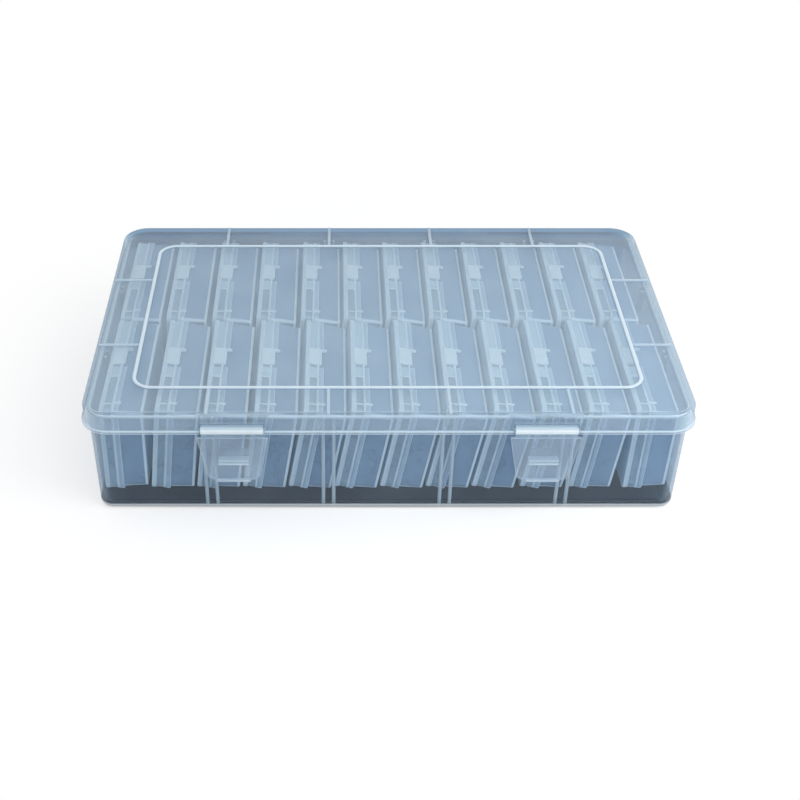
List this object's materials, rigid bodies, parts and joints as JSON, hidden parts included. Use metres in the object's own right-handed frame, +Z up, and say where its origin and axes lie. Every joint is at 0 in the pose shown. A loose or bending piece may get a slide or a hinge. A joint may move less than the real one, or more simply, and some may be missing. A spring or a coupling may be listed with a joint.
{
  "type": "bead organizer case",
  "caption": "Clear hinged-lid case with drop latches, holding rows of small flip-top boxes on edge for beads and small craft parts.",
  "frame": {"origin": "middle of the case's underside, under the middle of its overall box", "axes": "+X to the right along the case's length, seen from the latch side; +Y from the latches to the hinges; +Z up"},
  "size_m": [0.2734, 0.1786, 0.0579],
  "materials": {
    "case_plastic": "clear blue-tinted polypropylene, gloss",
    "lid_plastic": "clear blue-tinted polypropylene, gloss",
    "latch_plastic": "clear polypropylene, gloss",
    "box_tray_plastic": "clear polypropylene, gloss",
    "box_lid_plastic": "clear polypropylene, gloss"
  },
  "bodies": {
    "case_base": {"case_base": "case_plastic"},
    "case_lid": {"case_lid": "lid_plastic"},
    "latch_left": {"latch_left": "latch_plastic"},
    "latch_right": {"latch_right": "latch_plastic"},
    "box_front_01": {"box_front_01_tray": "box_tray_plastic", "box_front_01_lid": "box_lid_plastic"},
    "box_front_02": {"box_front_02_tray": "box_tray_plastic", "box_front_02_lid": "box_lid_plastic"},
    "box_front_03": {"box_front_03_tray": "box_tray_plastic", "box_front_03_lid": "box_lid_plastic"},
    "box_front_04": {"box_front_04_tray": "box_tray_plastic", "box_front_04_lid": "box_lid_plastic"},
    "box_front_05": {"box_front_05_tray": "box_tray_plastic", "box_front_05_lid": "box_lid_plastic"},
    "box_front_06": {"box_front_06_tray": "box_tray_plastic", "box_front_06_lid": "box_lid_plastic"},
    "box_front_07": {"box_front_07_tray": "box_tray_plastic", "box_front_07_lid": "box_lid_plastic"},
    "box_front_08": {"box_front_08_tray": "box_tray_plastic", "box_front_08_lid": "box_lid_plastic"},
    "box_front_09": {"box_front_09_tray": "box_tray_plastic", "box_front_09_lid": "box_lid_plastic"},
    "box_front_10": {"box_front_10_tray": "box_tray_plastic", "box_front_10_lid": "box_lid_plastic"},
    "box_front_11": {"box_front_11_tray": "box_tray_plastic", "box_front_11_lid": "box_lid_plastic"},
    "box_front_12": {"box_front_12_tray": "box_tray_plastic", "box_front_12_lid": "box_lid_plastic"},
    "box_back_01": {"box_back_01_tray": "box_tray_plastic", "box_back_01_lid": "box_lid_plastic"},
    "box_back_02": {"box_back_02_tray": "box_tray_plastic", "box_back_02_lid": "box_lid_plastic"},
    "box_back_03": {"box_back_03_tray": "box_tray_plastic", "box_back_03_lid": "box_lid_plastic"},
    "box_back_04": {"box_back_04_tray": "box_tray_plastic", "box_back_04_lid": "box_lid_plastic"},
    "box_back_05": {"box_back_05_tray": "box_tray_plastic", "box_back_05_lid": "box_lid_plastic"},
    "box_back_06": {"box_back_06_tray": "box_tray_plastic", "box_back_06_lid": "box_lid_plastic"},
    "box_back_07": {"box_back_07_tray": "box_tray_plastic", "box_back_07_lid": "box_lid_plastic"},
    "box_back_08": {"box_back_08_tray": "box_tray_plastic", "box_back_08_lid": "box_lid_plastic"},
    "box_back_09": {"box_back_09_tray": "box_tray_plastic", "box_back_09_lid": "box_lid_plastic"},
    "box_back_10": {"box_back_10_tray": "box_tray_plastic", "box_back_10_lid": "box_lid_plastic"},
    "box_back_11": {"box_back_11_tray": "box_tray_plastic", "box_back_11_lid": "box_lid_plastic"},
    "box_back_12": {"box_back_12_tray": "box_tray_plastic", "box_back_12_lid": "box_lid_plastic"}
  },
  "joints": [
    {"name": "lid_hinge", "type": "hinge", "parent": "case_base", "child": "case_lid", "pos_m": [0, 0.08654, 0.0472], "axis": [-1, 0, 0], "range_deg": [0, 180]},
    {"name": "latch_left_pivot", "type": "hinge", "parent": "case_lid", "child": "latch_left", "pos_m": [-0.069, -0.08584, 0.0496], "axis": [-1, 0, 0], "range_deg": [0, 95]},
    {"name": "latch_right_pivot", "type": "hinge", "parent": "case_lid", "child": "latch_right", "pos_m": [0.069, -0.08584, 0.0496], "axis": [-1, 0, 0], "range_deg": [0, 95]},
    {"name": "box_front_01_lift", "type": "slide", "parent": "case_base", "child": "box_front_01", "axis": [0, 0, 1], "range_m": [0, 0.055]},
    {"name": "box_front_02_lift", "type": "slide", "parent": "case_base", "child": "box_front_02", "axis": [0, 0, 1], "range_m": [0, 0.055]},
    {"name": "box_front_03_lift", "type": "slide", "parent": "case_base", "child": "box_front_03", "axis": [0, 0, 1], "range_m": [0, 0.055]},
    {"name": "box_front_04_lift", "type": "slide", "parent": "case_base", "child": "box_front_04", "axis": [0, 0, 1], "range_m": [0, 0.055]},
    {"name": "box_front_05_lift", "type": "slide", "parent": "case_base", "child": "box_front_05", "axis": [0, 0, 1], "range_m": [0, 0.055]},
    {"name": "box_front_06_lift", "type": "slide", "parent": "case_base", "child": "box_front_06", "axis": [0, 0, 1], "range_m": [0, 0.055]},
    {"name": "box_front_07_lift", "type": "slide", "parent": "case_base", "child": "box_front_07", "axis": [0, 0, 1], "range_m": [0, 0.055]},
    {"name": "box_front_08_lift", "type": "slide", "parent": "case_base", "child": "box_front_08", "axis": [0, 0, 1], "range_m": [0, 0.055]},
    {"name": "box_front_09_lift", "type": "slide", "parent": "case_base", "child": "box_front_09", "axis": [0, 0, 1], "range_m": [0, 0.055]},
    {"name": "box_front_10_lift", "type": "slide", "parent": "case_base", "child": "box_front_10", "axis": [0, 0, 1], "range_m": [0, 0.055]},
    {"name": "box_front_11_lift", "type": "slide", "parent": "case_base", "child": "box_front_11", "axis": [0, 0, 1], "range_m": [0, 0.055]},
    {"name": "box_front_12_lift", "type": "slide", "parent": "case_base", "child": "box_front_12", "axis": [0, 0, 1], "range_m": [0, 0.055]},
    {"name": "box_back_01_lift", "type": "slide", "parent": "case_base", "child": "box_back_01", "axis": [0, 0, 1], "range_m": [0, 0.055]},
    {"name": "box_back_02_lift", "type": "slide", "parent": "case_base", "child": "box_back_02", "axis": [0, 0, 1], "range_m": [0, 0.055]},
    {"name": "box_back_03_lift", "type": "slide", "parent": "case_base", "child": "box_back_03", "axis": [0, 0, 1], "range_m": [0, 0.055]},
    {"name": "box_back_04_lift", "type": "slide", "parent": "case_base", "child": "box_back_04", "axis": [0, 0, 1], "range_m": [0, 0.055]},
    {"name": "box_back_05_lift", "type": "slide", "parent": "case_base", "child": "box_back_05", "axis": [0, 0, 1], "range_m": [0, 0.055]},
    {"name": "box_back_06_lift", "type": "slide", "parent": "case_base", "child": "box_back_06", "axis": [0, 0, 1], "range_m": [0, 0.055]},
    {"name": "box_back_07_lift", "type": "slide", "parent": "case_base", "child": "box_back_07", "axis": [0, 0, 1], "range_m": [0, 0.055]},
    {"name": "box_back_08_lift", "type": "slide", "parent": "case_base", "child": "box_back_08", "axis": [0, 0, 1], "range_m": [0, 0.055]},
    {"name": "box_back_09_lift", "type": "slide", "parent": "case_base", "child": "box_back_09", "axis": [0, 0, 1], "range_m": [0, 0.055]},
    {"name": "box_back_10_lift", "type": "slide", "parent": "case_base", "child": "box_back_10", "axis": [0, 0, 1], "range_m": [0, 0.055]},
    {"name": "box_back_11_lift", "type": "slide", "parent": "case_base", "child": "box_back_11", "axis": [0, 0, 1], "range_m": [0, 0.055]},
    {"name": "box_back_12_lift", "type": "slide", "parent": "case_base", "child": "box_back_12", "axis": [0, 0, 1], "range_m": [0, 0.055]}
  ],
  "couplings": [
    {"joint": "box_front_01_lift", "follows": "lid_hinge", "m_per_rad": 0.017507},
    {"joint": "box_front_02_lift", "follows": "lid_hinge", "m_per_rad": 0.017507},
    {"joint": "box_front_03_lift", "follows": "lid_hinge", "m_per_rad": 0.017507},
    {"joint": "box_front_04_lift", "follows": "lid_hinge", "m_per_rad": 0.017507},
    {"joint": "box_front_05_lift", "follows": "lid_hinge", "m_per_rad": 0.017507},
    {"joint": "box_front_06_lift", "follows": "lid_hinge", "m_per_rad": 0.017507},
    {"joint": "box_front_07_lift", "follows": "lid_hinge", "m_per_rad": 0.017507},
    {"joint": "box_front_08_lift", "follows": "lid_hinge", "m_per_rad": 0.017507},
    {"joint": "box_front_09_lift", "follows": "lid_hinge", "m_per_rad": 0.017507},
    {"joint": "box_front_10_lift", "follows": "lid_hinge", "m_per_rad": 0.017507},
    {"joint": "box_front_11_lift", "follows": "lid_hinge", "m_per_rad": 0.017507},
    {"joint": "box_front_12_lift", "follows": "lid_hinge", "m_per_rad": 0.017507},
    {"joint": "box_back_01_lift", "follows": "lid_hinge", "m_per_rad": 0.017507},
    {"joint": "box_back_02_lift", "follows": "lid_hinge", "m_per_rad": 0.017507},
    {"joint": "box_back_03_lift", "follows": "lid_hinge", "m_per_rad": 0.017507},
    {"joint": "box_back_04_lift", "follows": "lid_hinge", "m_per_rad": 0.017507},
    {"joint": "box_back_05_lift", "follows": "lid_hinge", "m_per_rad": 0.017507},
    {"joint": "box_back_06_lift", "follows": "lid_hinge", "m_per_rad": 0.017507},
    {"joint": "box_back_07_lift", "follows": "lid_hinge", "m_per_rad": 0.017507},
    {"joint": "box_back_08_lift", "follows": "lid_hinge", "m_per_rad": 0.017507},
    {"joint": "box_back_09_lift", "follows": "lid_hinge", "m_per_rad": 0.017507},
    {"joint": "box_back_10_lift", "follows": "lid_hinge", "m_per_rad": 0.017507},
    {"joint": "box_back_11_lift", "follows": "lid_hinge", "m_per_rad": 0.017507},
    {"joint": "box_back_12_lift", "follows": "lid_hinge", "m_per_rad": 0.017507}
  ]
}
